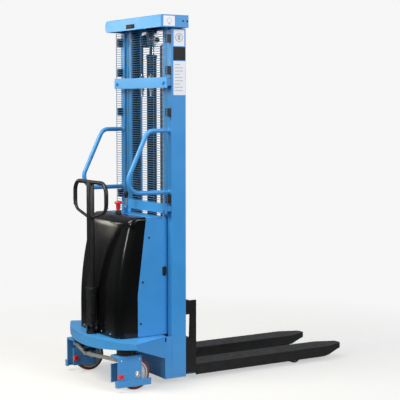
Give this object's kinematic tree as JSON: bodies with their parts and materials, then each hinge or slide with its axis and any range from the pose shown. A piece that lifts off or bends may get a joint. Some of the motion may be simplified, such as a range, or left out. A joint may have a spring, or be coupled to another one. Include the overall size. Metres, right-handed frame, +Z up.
{
  "type": "walkie stacker",
  "caption": "Pedestrian stacker: two-stage mast with chain lift, straddled pallet forks, steered twin casters, hinged tiller, grab handles and a wire guard.",
  "frame": {"origin": "on the floor, in the middle of the truck's overall length and width", "axes": "+X to the truck's right seen from behind, +Y towards the fork tips, +Z up"},
  "size_m": [0.84, 1.6879, 2.08],
  "materials": {
    "blue_paint": "smooth powder coat, light blue, semi-gloss",
    "black_cover": "gloss black moulded shell",
    "black_plastic": "satin black moulding",
    "guard_wire": "light blue coated wire",
    "black_paint": "satin black paint",
    "battery_case": "dark moulded battery case",
    "cast_metal": "as-cast light alloy",
    "oil_tank": "translucent white moulded tank",
    "hose_rubber": "black hydraulic hose",
    "bright_steel": "zinc-plated steel",
    "nylon": "natural nylon",
    "black_steel": "blackened steel",
    "red_plastic": "red moulding",
    "chromed_rod": "hard-chromed ground rod",
    "chain_steel": "oiled leaf chain",
    "roller_steel": "turned steel",
    "tiller_black": "semi-gloss black paint",
    "link_steel": "grey zinc-plated steel",
    "wheel_tread": "red-brown polyurethane tread"
  },
  "bodies": {
    "root": {"outer_mast_left": "blue_paint", "outer_mast_right": "blue_paint", "base_frame": "blue_paint", "support_leg_left": "blue_paint", "support_leg_right": "blue_paint", "chassis_plate": "blue_paint", "chassis_skirt": "blue_paint", "anchor_beam": "blue_paint", "lower_guard_beam": "blue_paint", "side_panel_left": "blue_paint", "side_panel_right": "blue_paint", "top_panel": "blue_paint", "rear_cover": "black_cover", "cover_fasteners": "black_plastic", "grab_handle_left": "blue_paint", "grab_handle_right": "blue_paint", "mesh_guard": "guard_wire", "guard_clips": "black_plastic", "cylinder_barrel": "black_paint", "cylinder_gland": "black_paint", "battery": "battery_case", "motor": "black_paint", "pump_block": "cast_metal", "oil_tank": "oil_tank", "controller": "black_plastic", "hydraulic_hose": "hose_rubber", "chain_anchors": "bright_steel", "guide_pads": "nylon", "steering_bearings": "black_steel", "load_roller_axles": "bright_steel", "estop_base": "red_plastic", "chain_rear_strands": "chain_steel"},
    "inner_mast": {"inner_mast": "blue_paint", "mast_crosshead": "blue_paint", "pulley_bracket": "black_paint", "piston_rod": "chromed_rod", "chain_wraps": "chain_steel", "chain_front_strands": "chain_steel"},
    "pulleys": {"chain_pulleys": "roller_steel"},
    "mast_rollers": {"mast_rollers": "roller_steel"},
    "carriage": {"carriage_frame": "black_paint", "fork_left": "black_paint", "fork_right": "black_paint"},
    "carriage_rollers_lower": {"carriage_rollers_lower": "roller_steel"},
    "carriage_rollers_upper": {"carriage_rollers_upper": "roller_steel"},
    "steering": {"steering_column": "black_steel"},
    "tiller": {"tiller_base": "tiller_black", "tiller_arm": "tiller_black"},
    "tie_rod_left": {"tie_rod_left": "link_steel"},
    "tie_rod_right": {"tie_rod_right": "link_steel"},
    "caster_left": {"caster_fork_left": "blue_paint"},
    "caster_right": {"caster_fork_right": "blue_paint"},
    "steer_wheel_left": {"steer_wheel_left": "wheel_tread"},
    "steer_wheel_right": {"steer_wheel_right": "wheel_tread"},
    "brake_pedal_left": {"brake_pedal_left": "red_plastic"},
    "brake_pedal_right": {"brake_pedal_right": "red_plastic"},
    "load_roller_left": {"load_roller_left": "wheel_tread"},
    "load_roller_right": {"load_roller_right": "wheel_tread"},
    "estop_button": {"estop_button": "red_plastic"},
    "lift_lever": {"control_lever": "black_plastic"}
  },
  "joints": [
    {"name": "mast_lift", "type": "slide", "parent": "root", "child": "inner_mast", "axis": [0, 0, 1], "range_m": [0, 1.45], "deforming": ["chain_rear_strands"]},
    {"name": "carriage_lift", "type": "slide", "parent": "inner_mast", "child": "carriage", "axis": [0, 0, 1], "range_m": [0, 1.45], "deforming": ["chain_front_strands"]},
    {"name": "pulley_turn", "type": "hinge", "parent": "inner_mast", "child": "pulleys", "pos_m": [0, -0.391, 1.955], "axis": [1, 0, 0], "range_deg": [0, 2430]},
    {"name": "mast_roller_turn", "type": "hinge", "parent": "inner_mast", "child": "mast_rollers", "pos_m": [0, -0.387, 0.118], "axis": [1, 0, 0], "range_deg": [0, 2265]},
    {"name": "lower_roller_turn", "type": "hinge", "parent": "carriage", "child": "carriage_rollers_lower", "pos_m": [0, -0.387, 0.192], "axis": [1, 0, 0], "range_deg": [0, 2975]},
    {"name": "upper_roller_turn", "type": "hinge", "parent": "carriage", "child": "carriage_rollers_upper", "pos_m": [0, -0.387, 0.5], "axis": [1, 0, 0], "range_deg": [-2975, 0]},
    {"name": "tiller_steer", "type": "hinge", "parent": "root", "child": "steering", "pos_m": [0, -0.792, 0.24], "axis": [0, 0, 1], "range_deg": [-40, 40]},
    {"name": "tiller_tilt", "type": "hinge", "parent": "steering", "child": "tiller", "pos_m": [0, -0.792, 0.325], "axis": [1, 0, 0], "range_deg": [0, 75], "stiffness_Nm_per_rad": 90},
    {"name": "tie_rod_right_turn", "type": "hinge", "parent": "steering", "child": "tie_rod_right", "pos_m": [0, -0.83, 0.17], "axis": [0, 0, 1], "range_deg": [-40, 40]},
    {"name": "caster_right_swivel", "type": "hinge", "parent": "root", "child": "caster_right", "pos_m": [0.285, -0.721, 0.23], "axis": [0, 0, 1], "range_deg": [-40, 40]},
    {"name": "steer_wheel_right_spin", "type": "hinge", "parent": "caster_right", "child": "steer_wheel_right", "pos_m": [0.285, -0.671, 0.09], "axis": [1, 0, 0], "continuous": true},
    {"name": "brake_pedal_right_press", "type": "hinge", "parent": "caster_right", "child": "brake_pedal_right", "pos_m": [0.3345, -0.759, 0.09], "axis": [1, 0, 0], "range_deg": [0, 10]},
    {"name": "load_roller_right_spin", "type": "hinge", "parent": "root", "child": "load_roller_right", "pos_m": [0.195, 0.488, 0.04], "axis": [1, 0, 0], "continuous": true},
    {"name": "tie_rod_left_turn", "type": "hinge", "parent": "steering", "child": "tie_rod_left", "pos_m": [0, -0.83, 0.17], "axis": [0, 0, 1], "range_deg": [-40, 40]},
    {"name": "caster_left_swivel", "type": "hinge", "parent": "root", "child": "caster_left", "pos_m": [-0.285, -0.721, 0.23], "axis": [0, 0, 1], "range_deg": [-40, 40]},
    {"name": "steer_wheel_left_spin", "type": "hinge", "parent": "caster_left", "child": "steer_wheel_left", "pos_m": [-0.285, -0.671, 0.09], "axis": [1, 0, 0], "continuous": true},
    {"name": "brake_pedal_left_press", "type": "hinge", "parent": "caster_left", "child": "brake_pedal_left", "pos_m": [-0.2355, -0.759, 0.09], "axis": [1, 0, 0], "range_deg": [0, 10]},
    {"name": "load_roller_left_spin", "type": "hinge", "parent": "root", "child": "load_roller_left", "pos_m": [-0.195, 0.488, 0.04], "axis": [1, 0, 0], "continuous": true},
    {"name": "estop_press", "type": "slide", "parent": "root", "child": "estop_button", "axis": [0, 0, -1], "range_m": [0, 0.005]},
    {"name": "lift_lever_tilt", "type": "hinge", "parent": "root", "child": "lift_lever", "pos_m": [-0.055, -0.534, 0.992], "axis": [1, 0, 0], "range_deg": [-15, 15], "stiffness_Nm_per_rad": 1.5}
  ],
  "couplings": [
    {"joint": "carriage_lift", "follows": "mast_lift", "ratio": 1},
    {"joint": "pulley_turn", "follows": "mast_lift", "rad_per_m": 29.155},
    {"joint": "mast_roller_turn", "follows": "mast_lift", "rad_per_m": 27.174},
    {"joint": "lower_roller_turn", "follows": "mast_lift", "rad_per_m": 35.714},
    {"joint": "upper_roller_turn", "follows": "mast_lift", "rad_per_m": -35.714},
    {"joint": "tie_rod_right_turn", "follows": "tiller_steer", "ratio": -1},
    {"joint": "caster_right_swivel", "follows": "tiller_steer", "ratio": 1},
    {"joint": "tie_rod_left_turn", "follows": "tiller_steer", "ratio": -1},
    {"joint": "caster_left_swivel", "follows": "tiller_steer", "ratio": 1}
  ]
}
